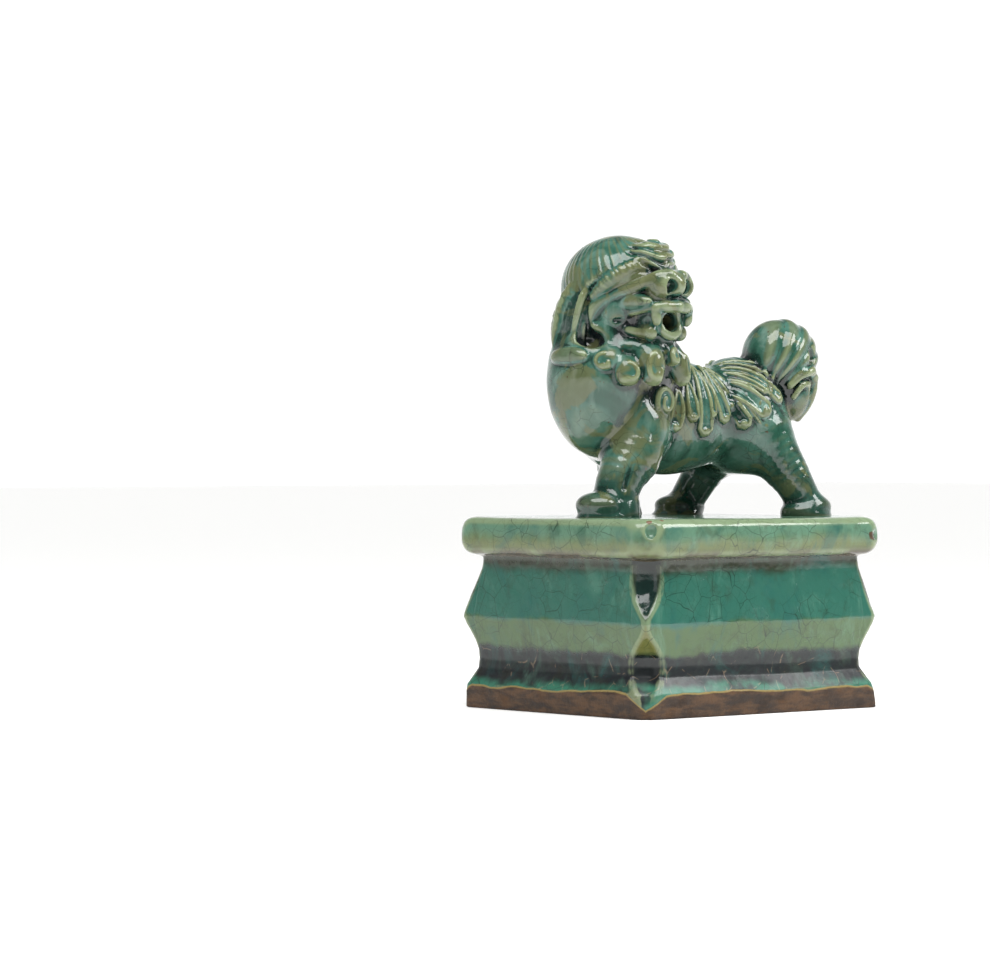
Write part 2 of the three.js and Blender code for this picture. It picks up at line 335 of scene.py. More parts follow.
def makeObject(name, points, faces, numbers=None):
    # A smooth mesh from points in millimetres, with a named number at each point where numbers gives them.
    mesh = bpy.data.meshes.new(name)
    mesh.vertices.add(len(points))
    mesh.vertices.foreach_set("co", (points / perMetre).astype(np.float32).ravel())
    sides = faces.shape[1]
    mesh.loops.add(faces.size)
    mesh.loops.foreach_set("vertex_index", faces.astype(np.int32).ravel())
    mesh.polygons.add(len(faces))
    mesh.polygons.foreach_set("loop_start", np.arange(0, faces.size, sides, dtype=np.int32))
    mesh.polygons.foreach_set("use_smooth", np.ones(len(faces), bool))
    mesh.update(calc_edges=True)
    for label, values in (numbers or {}).items():
        layer = mesh.attributes.new(label, "FLOAT", "POINT")
        layer.data.foreach_set("value", values.astype(np.float32))
    return placed(name, mesh)


# The dog is built up in one block of clay. The step is the fineness of its grid, in millimetres.
step = 0.55
deck = corners("plinth_top_slab")[1][2]
bodyLow = np.minimum(corners("body_left_half")[0], corners("body_right_half")[0])
bodyHigh = np.maximum(corners("body_left_half")[1], corners("body_right_half")[1])
capLow, capHigh = corners("hair_cap")
tailMiddle = middle("tail_plume")
dog = Clay((bodyLow[0] - 8, -48, deck - 2.5), (tailMiddle[0] + 26, 42, capHigh[2] + 3), step)


def near(node, offset):
    # A place given from the middle of a node.
    return middle(node) + np.array(offset, float)


def pathNear(node, offsets, count):
    return smooth([near(node, p) for p in offsets], count)


# The trunk: ellipsoids given from the point halfway along the barrel, 42.5 mm above the deck.
trunk = {
    "from": (bodyLow[0] / 2 + bodyHigh[0] / 2 - 5, 0, deck + 42.5),
    "chest": ((-36, 0, 15), (21.5, 21, 31.5)),
    "barrel": ((0, 0, 0), (46, 19.5, 25)),
    "rump": ((43.5, 0, 1), (23.5, 21, 25)),
    "tailRoot": ((55, -3, 9), (11, 12, 10)),
    "neck": ((-28, -1, 33), (16.5, 17, 16)),
    "bib": ((-17, -12, 21), (12, 11, 12)),
    "shoulder": ((-22, 9, -4), (13, 12, 17)),
    "haunch": ((48, 8, -7), (14, 13, 17)),
    "throat": ((-40, -4, 17), (14.5, 15.5, 11)),
}
trunkFrom = np.array(trunk["from"])
trunkShapes = []
for name in ("barrel", "rump", "chest", "neck", "tailRoot", "throat", "bib"):
    trunkShapes.append(lump(trunkFrom + trunk[name][0], trunk[name][1]))
for name in ("shoulder", "haunch"):
    (dx, dy, dz), size = trunk[name]
    for way in (-1, 1):
        trunkShapes.append(lump(trunkFrom + (dx, way * dy, dz), size))
halves = {"body_left_half": lambda x, y, z: y, "body_right_half": lambda x, y, z: -y}
for shape in trunkShapes:
    dog.divide(shape, 7, halves)


def trunkDistance(p):
    return min(float(shape[0](p[0], p[1], p[2])) for shape in trunkShapes)


def onTrunk(x, angle, side):
    # The point of the hide at this x, at an angle in degrees down from the spine.
    a = math.radians(angle)
    out = np.array([0, side * math.sin(a), math.cos(a)])
    origin = np.array([x, 0, trunkFrom[2]])
    low, high = 2.0, 45.0
    for _ in range(18):
        half = (low + high) / 2
        if trunkDistance(origin + out * half) < 0:
            low = half
        else:
            high = half
    return origin + out * low


def hideNormal(p):
    e = 0.4
    g = [trunkDistance(p + np.eye(3)[k] * e) - trunkDistance(p - np.eye(3)[k] * e) for k in range(3)]
    return np.array(g) / max(np.linalg.norm(g), 1e-6)


# Each leg is a path from the middle of its node, and the leg's thickness along it.
legs = {
    "front_left": {
        "path": [(9, 2, 13), (4, -0.5, 3), (-2.5, -1.7, -5), (-6.5, -2.2, -13), (-7, -2.2, -21)],
        "thick": (13, 12.5, 10.2, 9.4, 10.5),
    },
    "front_right": {
        "path": [(-1, -1.5, 13), (0, 0, 0), (2.5, 1, -8), (3, 1, -21)],
        "thick": (9, 8.4, 7.6, 8.4),
    },
    "rear_left": {
        "path": [(-5, 6.4, 14), (-1, 1, 4), (3.5, -4, -6), (8.5, -6.6, -16)],
        "thick": (13, 10.5, 8.3, 7.6),
    },
    "rear_right": {
        "path": [(2.5, -5.8, 12), (-1.5, 0.7, -3), (-6.5, 5.2, -14), (-7.5, 6, -17)],
        "thick": (12.5, 8.6, 7.2, 7.6),
    },
}
for place, leg in legs.items():
    node = "leg_" + place
    dog.add(node, rope(pathNear(node, leg["path"], 12), leg["thick"]), 5)

# Each paw is two pads, and a skirt of clay and glaze where it is luted to the deck.
paws = {
    "front_left": [((-0.2, -0.5, -0.2), (9.6, 9.4, 5.6)), ((9, 0, -2), (8, 10, 4))],
    "front_right": [((0, 0, 0), (9, 8.2, 4.4)), ((6, 0, -2), (8, 8.5, 3))],
    "rear_left": [((1.5, -0.6, 0.2), (9.8, 8.6, 4.6)), ((-4, 0, -1.5), (8, 8, 3))],
    "rear_right": [((0, 0, 0), (9.5, 8.4, 4.4)), ((5, 0, -1.5), (9, 8, 3))],
}
skirt = {"size": (11.5, 10, 2.2), "under": 0.6, "back": 2}
for place, pads in paws.items():
    node = "paw_" + place
    for offset, size in pads:
        dog.add(node, lump(near(node, offset), size), 3)
    foot = near(node, (skirt["back"] if "front" in place else 0, 0, 0))
    dog.add(node, lump((foot[0], foot[1], deck - skirt["under"]), skirt["size"]), 4)

# The crease down the outside of the near foreleg.
crease = {"path": [(-2, -12.5, 9), (-6.5, -11.5, -2), (-9.5, -10.5, -11)], "width": (0.6, 1.3, 0.7)}
dog.carve(rope(pathNear("leg_front_left", crease["path"], 8), crease["width"]), 1.6)

# The mane: rimmed locks that fan out from the nape over each flank.
# Each lock is (piece, x and angle at the root, x and angle at the tip, half width, rim).
mane = {
    "locks": [
        (1, -12, 58, -15.5, 101, 3.0, 1.2),
        (2, -5, 46, -5, 90, 2.5, 1.0),
        (3, 3, 24, 2.5, 106, 3.3, 1.25),
        (3, 6, 30, 7.5, 86, 1.7, 0.8),
        (4, 9, 20, 15.5, 90, 3.0, 1.15),
        (4, 11, 24, 20.0, 71, 2.8, 0.9),
        (5, 19, 52, 26.5, 97, 2.9, 1.15),
        (5, 24, 52, 36.0, 99, 1.5, 0.9),
        (6, 14, 18, 36.0, 82, 3.3, 1.15),
        (6, 17, 12, 38.0, 58, 2.1, 0.8),
        (7, 20, 8, 46.0, 66, 2.5, 1.0),
        (7, 24, 4, 52.0, 46, 1.9, 0.8),
    ],
    "lift": 0.3,
    "tip": 0.8,
    "bed": (0.35, 0.9, 1),
    "knob": (0.75, 1.5, 0.6),
    "spineSteps": 14,
    "rimSteps": 40,
}
for side, word in ((-1, "left"), (1, "right")):
    for number, x0, a0, x1, a1, width, rim in mane["locks"]:
        if word == "right" and number == 1:
            number = 2  # the far side has no piece 1, so this lock goes with the next
        node = f"mane_lock_{word}_{number}"
        share = np.linspace(0, 1, mane["spineSteps"])
        hide = [onTrunk(x0 + (x1 - x0) * t ** 1.3, a0 + (a1 - a0) * t, side) for t in share]
        spine = np.array([p + hideNormal(p) * mane["lift"] for p in hide])
        along = np.gradient(spine, axis=0)
        normals = np.array([hideNormal(p) for p in spine])
        across = np.cross(along, normals)
        across /= np.linalg.norm(across, axis=1)[:, None]
        spread = (width * np.sin(np.clip(share * 0.62 + 0.06, 0, 0.5) * math.pi) ** 1.1)[:, None]
        leftEdge, rightEdge = spine + across * spread, spine - across * spread
        tip = spine[-1] + along[-1] / np.linalg.norm(along[-1]) * width * mane["tip"]
        loop = smooth(np.vstack([leftEdge, [tip], rightEdge[::-1]]), mane["rimSteps"])
        thick = rim * (0.5 + 0.6 * np.sin(np.linspace(0, 1, mane["rimSteps"]) * math.pi) ** 0.7)
        bed = [width * k for k in mane["bed"]]
        dog.add(node, rope(spine - normals * 0.4, bed, normals[7], 3.2), 0.7)
        dog.add(node, rope(loop + hideNormal(spine[7]) * 0.25, thick), 0.5)
        knob = spine[-1] + normals[-1] * 0.5 + np.array([0, 0, -width * 0.2])
        dog.add(node, lump(knob, np.array(mane["knob"]) * (width, 1, width)), 0.9)

# The spiral button on each shoulder.
button = {"size": (5.2, 3.2, 7.2), "turns": 1.25, "rim": 1.25}
for side, word in ((-1, "left"), (1, "right")):
    node = "shoulder_curl_" + word
    centre = near(node, (0, -side * 1.0, 0))
    dog.add(node, lump(centre, button["size"]), 1.5)
    spiral = []
    for t in np.linspace(0, 1, 26):
        a = math.radians(200 - 360 * button["turns"] * t)
        r = 1 - 0.72 * t
        spiral.append(centre + (button["size"][0] * 0.92 * r * math.cos(a), side * (2.3 + 0.7 * t),
                                button["size"][2] * 0.92 * r * math.sin(a)))
    dog.add(node, rope(spiral, (button["rim"], button["rim"], 0.9)), 0.6)

# The head has its own directions: s to the dog's left, f forward and u up.
headTurn = 7.5
headFrom = np.array([(capLow[0] + capHigh[0]) / 2 + 0.5, capHigh[1] - 28.5, capHigh[2] - 25.5])
turnCos, turnSin = math.cos(math.radians(headTurn)), math.sin(math.radians(headTurn))


def face(s, f, u):
    return headFrom + (s * turnCos + f * turnSin, s * turnSin - f * turnCos, u)


def inHead(x, y, z):
    # The s, f and u of a place in the frame.
    s = (x - headFrom[0]) * turnCos + (y - headFrom[1]) * turnSin
    f = (x - headFrom[0]) * turnSin - (y - headFrom[1]) * turnCos
    return s, f, z - headFrom[2]


def acrossFace(x, y, z):
    return inHead(x, y, z)[0] + 0 * z


def faceLump(at, size, way=1):
    # way is -1 for the mirror image, on the dog's right.
    return lump(face(way * at[0], at[1], at[2]), size, turn=headTurn)


def facePath(points, count, way=1):
    return smooth([face(way * s, f, u) for s, f, u in points], count)


skull = {
    "forms": [
        ((0, -1, -1), (21.5, 24, 22)),
        ((0, 12, -3.5), (11.5, 17.5, 8.5)),
        ((13, 5, -8), (6.5, 11, 9)),
        ((-13, 5, -8), (6.5, 11, 9)),
        ((0, -4, -14), (19, 19, 13)),
    ],
    "snout": ((0, 19, -2.5), (10.6, 11.5, 7.6)),
    "mouth": ((0, 15.5, -12.5), (10.8, 13.6, 6)),
    "throat": ((0, 12.5, -23.5), (17.5, 14.5, 7.5)),
}
headHalves = {"head_left_half": lambda x, y, z: -acrossFace(x, y, z), "head_right_half": acrossFace}
for at, size in skull["forms"]:
    dog.divide(faceLump(at, size), 4, headHalves)
dog.divide(faceLump(*skull["throat"]), 3, headHalves)
for name in ("snout", "mouth"):
    dog.divide(block(face(*skull[name][0]), skull[name][1], 4.5, turn=headTurn), 2.5, headHalves)

# The combed cap of hair stops at a rolled edge that slopes up over the brow.
hair = {
    "size": (24, 25.3, 22.4),
    "at": (0, 0.6, 2.4),
    "slope": 0.71,
    "comb": 0.1,
    "pitch": 22,
    "browNick": 0.2,
}
capBall = faceLump(hair["at"], hair["size"])


def capDistance(x, y, z):
    f, u = inHead(x, y, z)[1:]
    edge = (hair["slope"] * f - u - 0.2) / math.hypot(1, hair["slope"])
    return cut(capBall[0](x, y, z), -edge, 1.4)


dog.add("hair_cap", (capDistance, capBall[1], capBall[2]), 0.8)

tuft = {"at": (0, 19, 13.4), "size": (11, 7.5, 9), "comb": 0.7, "waves": 1.45}
dog.add("forelock", faceLump(tuft["at"], tuft["size"]), 2)

# Features that come in pairs: ropes and lumps on the dog's left, each with its size and its fillet.
mirroredFace = {
    "brow": [
        ("rope", [(20.6, 4.5, -1.5), (19, 10, 3.6), (15.8, 14.8, 7.8), (11, 18.8, 10.6), (5, 21.4, 10.4)],
         (2.6, 3.6, 3.9, 3.2, 2.2), 1.0),
        ("rope", [(17.8, 11.5, 1.2), (15, 16.4, 4.6), (11.4, 20, 6.6), (7, 23, 6.8)],
         (1.2, 1.7, 1.7, 1.4), 0.8),
    ],
    "lip_roll": [
        ("rope", [(3.6, 32, 7.0), (7.6, 29, 6.2), (10.6, 24.5, 3.8), (13.4, 18.5, 1.4), (16, 12.5, -0.6)],
         (2.2, 2.9, 2.9, 2.8, 2.8), 0.9),
        ("lump", (12.2, 16.5, -4.2), (4.4, 12.5, 4.0), 1.2),
        ("rope", [(13.4, 11.5, -9.8), (12.3, 19, -8.4), (11.4, 26, -6.9), (10.4, 29.2, -7.4),
                  (10, 29.8, -11.6)], (1.2, 1.7, 2, 2.2, 2.0), 0.8),
        ("rope", [(10, 29.8, -6.8), (6, 31.6, -6.4), (0, 32.2, -6.2)], (2.4, 2.7, 2.7), 0.9),
    ],
    "cheek_fold": [
        ("rope", [(16, 12, -0.8), (19, 7.5, -3.4), (20.8, 3.6, -7.5), (20.6, 1.6, -12), (18.8, 3.2, -16.2),
                  (16.4, 6, -15)], (2.7, 2.9, 2.9, 2.7, 2.5, 1.9), 1.0),
        ("rope", [(15.8, 12.6, -5), (17.6, 8.5, -9), (17, 8, -13)], (1.6, 1.9, 1.5), 0.9),
    ],
    "eye": [("lump", (12.2, 18.4, 3.2), (2.4, 2.4, 2.1), 0.5)],
    "ear": [
        ("rope", [(19, -1.5, 6), (22.6, -4.4, -2), (24, -6, -11), (24, -7.2, -19), (24.4, -6, -26)],
         (3.5, 6.6, 8, 8, 7), 1.0),
        ("rope", [(19.5, 3, 5.5), (24.2, 0.8, -2), (25.4, -1.4, -11), (25.4, -3, -19), (26, -1.5, -25.5)],
         (1.4, 1.7, 1.6, 1.5, 1.6), 0.7),
        ("rope", [(21, -2, 2), (25, -4.5, -6), (25.8, -6.2, -13), (25, -8, -21)], (0.8, 1.1, 1.1, 0.9), 0.6),
        ("rope", [(19.5, -7, 5), (23, -11.5, -3), (24.6, -14, -11), (24, -15, -19), (22, -13.5, -26)],
         (1.1, 1.5, 1.5, 1.5, 1.5), 0.7),
        ("lump", (28.6, -2.4, -27.2), (4.6, 10, 4.6), 0.7),
    ],
}
earFlat = {"way": (1, 0.25, 0), "flatness": 2.9}  # the flap of the ear is a thick rope, beaten flat


def addFeature(node):
    for way, word in ((1, "left"), (-1, "right")):
        for kind, where, size, blend in mirroredFace[node]:
            if kind == "lump":
                shape = faceLump(where, size, way)
            elif node == "ear" and size[0] > 2:
                s, f, u = earFlat["way"]
                flatWay = face(way * s, f, u) - face(0, 0, 0)
                shape = rope(facePath(where, 14, way), size, flatWay, earFlat["flatness"])
            else:
                shape = rope(facePath(where, 14, way), size)
            dog.add(f"{node}_{word}", shape, blend)


for node in ("brow", "lip_roll", "cheek_fold", "eye"):
    addFeature(node)

nose = {
    "bulb": ((0, 30.8, 3.2), (5.8, 5.4, 5.2)),
    "wing": ((7.2, 29.4, 2.4), (4.4, 5, 5)),
    "bridge": ((0, 25.5, 5.4), (7.5, 8, 4.4)),
    "nostril": ((5.2, 34.4, 2.0), (3.0, 4.8, 3.3)),
}
dog.add("nose", faceLump(*nose["bridge"]), 1.6)
dog.add("nose", faceLump(*nose["bulb"]), 2.4)
for way in (-1, 1):
    dog.add("nose", faceLump(*nose["wing"], way), 2.4)
for way in (-1, 1):
    dog.carve(faceLump(*nose["nostril"], way), 0.8)

jaw = {
    "chin": ((0, 15.5, -19.4), (12, 12, 6.2)),
    "edge": [(13, 11.5, -14.6), (12, 18, -16.6), (10.6, 24, -17.6)],
    "edgeWidth": (1.6, 2.1, 2.2),
    "corner": ((9.6, 25.6, -17), (3.2, 3.3, 3.6)),
    "lip": [(5.8, 28.2, -14.8), (4.6, 28.8, -17), (0, 29.2, -18.6), (-4.6, 28.8, -17), (-5.8, 28.2, -14.8)],
    "lipWidth": (1.6, 1.9, 1.6),
}
dog.add("lower_jaw", faceLump(*jaw["chin"]), 2)
for way in (-1, 1):
    dog.add("lower_jaw", rope(facePath(jaw["edge"], 8, way), jaw["edgeWidth"]), 0.9)
    dog.add("lower_jaw", faceLump(*jaw["corner"], way), 0.9)
dog.add("lower_jaw", rope(facePath(jaw["lip"], 12), jaw["lipWidth"]), 0.9)

# The open mouth: a hole at the front, and a groove that runs back to each corner, where the flews hang.
mouth = {
    "hole": ((0, 27.5, -12.6), (5.0, 13, 3.9)),
    "groove": [(17, 12.5, -12), (15, 19, -12.4), (13.2, 25.5, -12.6)],
    "grooveWidth": (0.8, 2.3, 3.0),
    "flew": [(10.4, 29, -7), (10.2, 29.8, -11), (9.8, 29.4, -12.8)],
    "flewWidth": (2.1, 2.0, 1.8),
}
dog.carve(faceLump(*mouth["hole"]), 0.8)
for way in (-1, 1):
    dog.carve(rope(facePath(mouth["groove"], 8, way), mouth["grooveWidth"]), 0.6)
for way, word in ((-1, "right"), (1, "left")):
    flew = [face(way * s, f, u) for s, f, u in mouth["flew"]]
    dog.add("lip_roll_" + word, rope(flew, mouth["flewWidth"]), 0.7)

# The hollow behind each cheek, in front of the ear. The ear comes after it, so that it isn't cut.
cheekHollow = {
    "path": [(23.4, 2.6, -1), (24.4, 1.4, -8), (24.4, 1.4, -14), (24, 3, -19)],
    "width": (1.1, 2.0, 3.0, 3.8),
    "pit": ((23.4, 5, -20), (4.2, 7, 4.2)),
}
for way in (-1, 1):
    dog.carve(rope(facePath(cheekHollow["path"], 10, way), cheekHollow["width"]), 0.9)
    dog.carve(faceLump(*cheekHollow["pit"], way), 2.2)
addFeature("ear")

# The ring of beard curls.
beard = {
    # for each curl: offset along the ring, outward and up, then half width, depth, half height, and hook side
    1: ((-1.5, 0, 0.5), (5.2, 3.6, 4.2), 1),
    2: ((-0.8, 0, -4.2), (5.8, 4.6, 5.4), -1),
    3: ((-0.6, 0.6, -1.8), (5.6, 4.8, 7.6), 1),
    4: ((-0.5, 0, 3.2), (3.8, 3.8, 4.0), 1),
    5: ((-0.6, 0.4, -2.2), (3.6, 3.6, 7.2), -1),
    6: ((0, 0, -1), (4.6, 4, 6.4), 1),
    "rim": 1.35,
}
for number in range(1, 7):
    node = f"beard_curl_{number}"
    (along, forth, up), (halfWidth, depth, halfHeight), hook = beard[number]
    outward = middle(node) - (headFrom + (0, -3, 0))
    outward[2] = 0
    outward /= np.linalg.norm(outward)
    sideways = np.array([-outward[1], outward[0], 0])
    centre = middle(node) + sideways * along + outward * (forth - 0.8) + np.array([0, 0, up])
    turned = math.degrees(math.atan2(outward[0], -outward[1]))
    dog.add(node, lump(centre, (halfWidth, depth, halfHeight), turn=turned), 1.4)
    dog.add(node, lump(centre + np.array([0, 0, -halfHeight * 0.45]) + outward * 1.2,
                       (halfWidth * 0.72, depth * 0.9, halfHeight * 0.55), turn=turned), 1.0)
    ring = []
    for t in np.linspace(0, 1, 20):
        a = math.radians(90 + 40 * math.sin(3.1 * number) + hook * (230 + 35 * math.sin(2.3 * number)) * t)
        inwards = 1 - 0.45 * t
        ring.append(centre + sideways * halfWidth * 0.74 * inwards * math.cos(a)
                    + outward * (depth * (0.62 + 0.3 * t))
                    + np.array([0, 0, halfHeight * 0.78 * inwards * math.sin(a)]))
    dog.add(node, rope(ring, (0.7, beard["rim"], beard["rim"], 0.8)), 0.6)
    # a soft shoulder joins the curl to the throat
    dog.add(node, lump(centre + np.array([0, 0, halfHeight * 0.55]) - outward * 2.6,
                       (halfWidth * 1.15, depth * 1.1, halfHeight * 0.9), turn=turned), 2.6)

# The tail: a round plume with a dimple, and a tip of two curled ropes on a bed.
tail = {
    "plume": [((3.4, -1, 2.6), (18.2, 14.5, 16.8)), ((5, -1.5, -6), (10.5, 10.5, 13))],
    "hollow": ((10.4, -14.2, 3.4), (2.4, 2.4, 3.4)),
    "bed": ((6.5, -4.5, -13), (8.5, 8.5, 12)),
    "curl": [(-1.5, -12.4, -10), (3.3, -14, -4.8), (9.3, -13.5, -3.6), (13.6, -10.6, -7), (13.6, -9.6, -13),
             (11.4, -8.6, -19), (9, -6.4, -24)],
    "curlWidth": (1.4, 2.6, 2.7, 2.4, 1.6),
    "inner": [(0.5, -12.6, -15), (4, -14.2, -9.8), (8, -13, -9), (9.6, -11, -12.5), (8.6, -9.4, -18),
              (7.8, -7, -23)],
    "innerWidth": (1.2, 1.7, 1.7, 1.2),
    "root": (-9, 0, -22),
    "comb": 0.75,
    "ridges": 27,
}
for offset, size in tail["plume"]:
    dog.add("tail_plume", lump(near("tail_plume", offset), size), 3)
at, size = tail["hollow"]
dog.carve(lump(near("tail_plume", at), size), 1.2)
at, size = tail["bed"]
dog.add("tail_tip", lump(near("tail_plume", at), size), 2)
dog.add("tail_tip", rope(pathNear("tail_plume", tail["curl"], 24), tail["curlWidth"]), 0.9)
dog.add("tail_tip", rope(pathNear("tail_plume", tail["inner"], 20), tail["innerWidth"]), 0.7)
print("dog built up")


# Combed hair: each function gives the height of its ridges at a place.

def combCap(x, y, z):
    s, f, u = inHead(x, y, z)
    around = np.arctan2(s, f + 4 + 0 * s) + 0.012 * u
    crown = np.clip((np.sqrt(s * s + (f + 2) ** 2) - 5) / 9, 0, 1)
    above = np.clip((u - hair["slope"] * f + 1) / 2.5, 0, 1)
    lines = np.sin(around * hair["pitch"] * 2) + 0.5 * np.sin(around * hair["pitch"] * 3.3 + 1)
    return hair["comb"] * lines * crown * above


def waveTuft(x, y, z):
    s, f, u = inHead(x, y, z)
    away = np.sqrt((s / 12) ** 2 + ((f - 18) / 10) ** 2 + ((u - 13.5) / 9) ** 2)
    inside = np.clip(1.2 - away, 0, 0.35) / 0.35
    wave = np.sin(u * tuft["waves"] - 0.5 * np.abs(s + 1) + 1.1 * np.sin(s * 0.5 + 0.3 * u))
    return tuft["comb"] * inside * wave


def combBrow(x, y, z):
    # Slanting nicks across the brow band.
    s, f, u = inHead(x, y, z)
    band = np.clip(1 - np.abs(u - 0.62 * f + 1.2) / 4.5, 0, 1) * np.clip((np.abs(s) - 5) / 4, 0, 1)
    nicks = np.sin(2.1 * (u + 0.9 * f - 0.35 * np.abs(s)) + 1.6 * np.sin(0.7 * f + u))
    return hair["browNick"] * band * nicks


def combTail(x, y, z):
    at = near("tail_plume", tail["root"])
    px, py, pz = x - at[0], 0 * y, z - at[2]
    angle = np.arctan2(px + py, pz + py) - 0.012 * pz
    away = np.sqrt(px ** 2 + pz ** 2) + py
    inside = np.clip((away - 7) / 9, 0, 1) * np.clip((pz - 9) / 7, 0, 1)
    wander = 0.5 * np.sin(away * 0.12 + 2 * angle) + 0.9 * np.sin(angle * 2.3 + 1)
    broad = np.abs(np.sin(angle * tail["ridges"] / 2 + wander))
    narrow = np.sin(angle * tail["ridges"] + wander)
    return tail["comb"] * inside * (0.75 * broad + 0.2 * narrow - 0.4)


def fleshy(x, y, z):
    # The slight unevenness of hand-finished clay.
    return 0.13 * np.sin(x * 0.31 + 1.3 * np.sin(z * 0.17)) * np.sin(y * 0.27 + z * 0.23 + 0.8)


dog.ripple(dog.low, dog.low + dog.step * (dog.count - 1), fleshy)
dog.ripple(headFrom - 30, headFrom + 30, combBrow)
dog.ripple(headFrom - 30, headFrom + 30, combCap)
dog.ripple(face(0, 18, 13) - 14, face(0, 18, 13) + 14, waveTuft)
dog.ripple(near("tail_plume", (-18, -18, -16)), near("tail_plume", (22, 18, 22)), combTail)
print("hair combed")


# The plinth's wall: heights above the table, how far it stands out from its base line there, and how much of
# the corner is cut off.
plinthForm = {
    "wall": [(0, 0.9, 3), (3, 1.8, 4.5), (7, 2.8, 6.5), (10, 3.0, 8), (13, 1.4, 8.6), (17, -0.9, 9),
             (21, -1.5, 9), (25, -1.3, 8.8), (29, -0.8, 6.8), (33, -0.2, 3.9), (36, 0.3, 1.9),
             (39, 0.7, 0.9), (41.5, 0.5, 1.9), (44, 0.25, 3.6), (48, -0.15, 5.8), (52, -0.6, 7.6),
             (56, -1.0, 8.7), (60, -1.4, 9.2), (66, -1.4, 9.2)],
    "reach": 4.0,
    "hollowFrom": 10.0,
    "hollowFacet": 14.0,
    "rimOut": 4.0,
    "rimBite": 5.4,
    "rimFacet": 8,
    "rimRound": 2.2,
    "stripHalf": 6.2,
    "round": 1.0,
    "flute": 2.2,
}
wallHeights, wallOuts, wallFacets = (np.array(v, float) for v in zip(*plinthForm["wall"]))
plinthLow = corners("plinth_head_end_panel")[0]
wide = corners("plinth_back_panel")[1][1] - plinthForm["reach"]
long = -plinthLow[0] - plinthForm["reach"]
slabUnder, slabOver = corners("plinth_top_slab")[0][2], corners("plinth_top_slab")[1][2]
plinth = Clay((-long - 9, -wide - 9, -1), (long + 9, wide + 9, slabOver + 1.5), 0.7)


def boxWithFacets(x, y, outX, outY, facet, radius, flute=0.0):
    # A box seen from above, with its corners cut off, and the cuts hollowed by flute.
    dx, dy = np.abs(x) - outX, np.abs(y) - outY
    dc = (np.abs(x) + np.abs(y) - outX - outY + facet) / math.sqrt(2)
    across = (np.abs(x) - np.abs(y) - outX + outY) / np.maximum(facet / math.sqrt(2), 1)
    dc = dc + flute * np.clip(1 - across ** 2, 0, 1)
    return -join(join(-dx, -dy, radius), -dc, radius)


def cavityDistance(x, y, wider=0.0):
    inwards = plinthForm["hollowFrom"] - wider
    return boxWithFacets(x, y, long - inwards, wide - inwards, plinthForm["hollowFacet"], 3.0)


def wallDistance(x, y, z):
    level = z + 0.25 * np.sin(x * 0.05 + 1) + 0.25 * np.sin(y * 0.06)
    out = np.interp(level, wallHeights, wallOuts) + 0.18 * np.sin(x * 0.07 + y * 0.05 + z * 0.1)
    facet = np.interp(z, wallHeights, wallFacets) + 1.2 * np.sin(z * 0.21 + x * 0.02 + y * 0.03)
    flute = plinthForm["flute"] * np.clip(facet / 12, 0, 1)
    shell = boxWithFacets(x, y, long + out, wide + out, facet, plinthForm["round"], flute)
    ends = np.maximum(-z, z - slabUnder - 0.4)
    return np.maximum(np.maximum(0.93 * shell, -cavityDistance(x, y)), ends)

def slabDistance(x, y, z):
    mid, half = (slabUnder + slabOver) / 2, (slabOver - slabUnder) / 2
    top = 0.35 * np.sin(x * 0.045 + 0.6) * np.sin(y * 0.05 + 0.4)
    t = np.clip((z - mid - 0.4) / half, -1, 1)
    bulge = np.sqrt(np.maximum(1 - np.abs(t) ** 2.7, 0))
    out = plinthForm["rimOut"] - plinthForm["rimBite"] * (1 - bulge)
    out = out + 0.28 * np.sin(x * 0.09 + 0.3 * np.sin(z * 0.3)) + 0.25 * np.sin(y * 0.11 + 2)
    side = boxWithFacets(x, y, long + out, wide + out, plinthForm["rimFacet"], plinthForm["rimRound"])
    ends = np.maximum(slabUnder - z, z - slabOver - top + 0.35)
    return cut(np.minimum(side, 5) * 0.8, -ends, 2.4)


def cornerStrip(wayX, wayY):
    shift = wayX * wayY * (long - wide) / math.sqrt(2)

    def side(x, y, z):
        across = (wayX * x - wayY * y) * wayX * wayY / math.sqrt(2) - shift
        outward = np.maximum(-wayX * x, -wayY * y) + 30
        return np.maximum(np.abs(across) - plinthForm["stripHalf"], outward) + 0 * z
    return side


def panel(axis, way):
    def side(x, y, z):
        # how far past the diagonal, with the corner strips taken out
        past = (wide - way * y) - (long - np.abs(x)) if axis else (long - way * x) - (wide - np.abs(y))
        return past / math.sqrt(2) + plinthForm["stripHalf"] + 0 * z
    return side


wallShares = {
    "plinth_front_panel": panel(1, -1), "plinth_back_panel": panel(1, 1),
    "plinth_head_end_panel": panel(0, -1), "plinth_tail_end_panel": panel(0, 1),
    "corner_strip_front_head": cornerStrip(-1, -1), "corner_strip_front_tail": cornerStrip(1, -1),
    "corner_strip_back_head": cornerStrip(-1, 1), "corner_strip_back_tail": cornerStrip(1, 1),
}
outerLow, outerHigh = np.array([-long - 8, -wide - 8, 0.0]), np.array([long + 8, wide + 8, slabUnder])
plinth.divide((wallDistance, outerLow, outerHigh), 0.3, wallShares)
slabLow, slabHigh = outerLow + (0, 0, slabUnder), outerHigh + (0, 0, slabOver - slabUnder)
plinth.add("plinth_top_slab", (slabDistance, slabLow, slabHigh), 1.4)

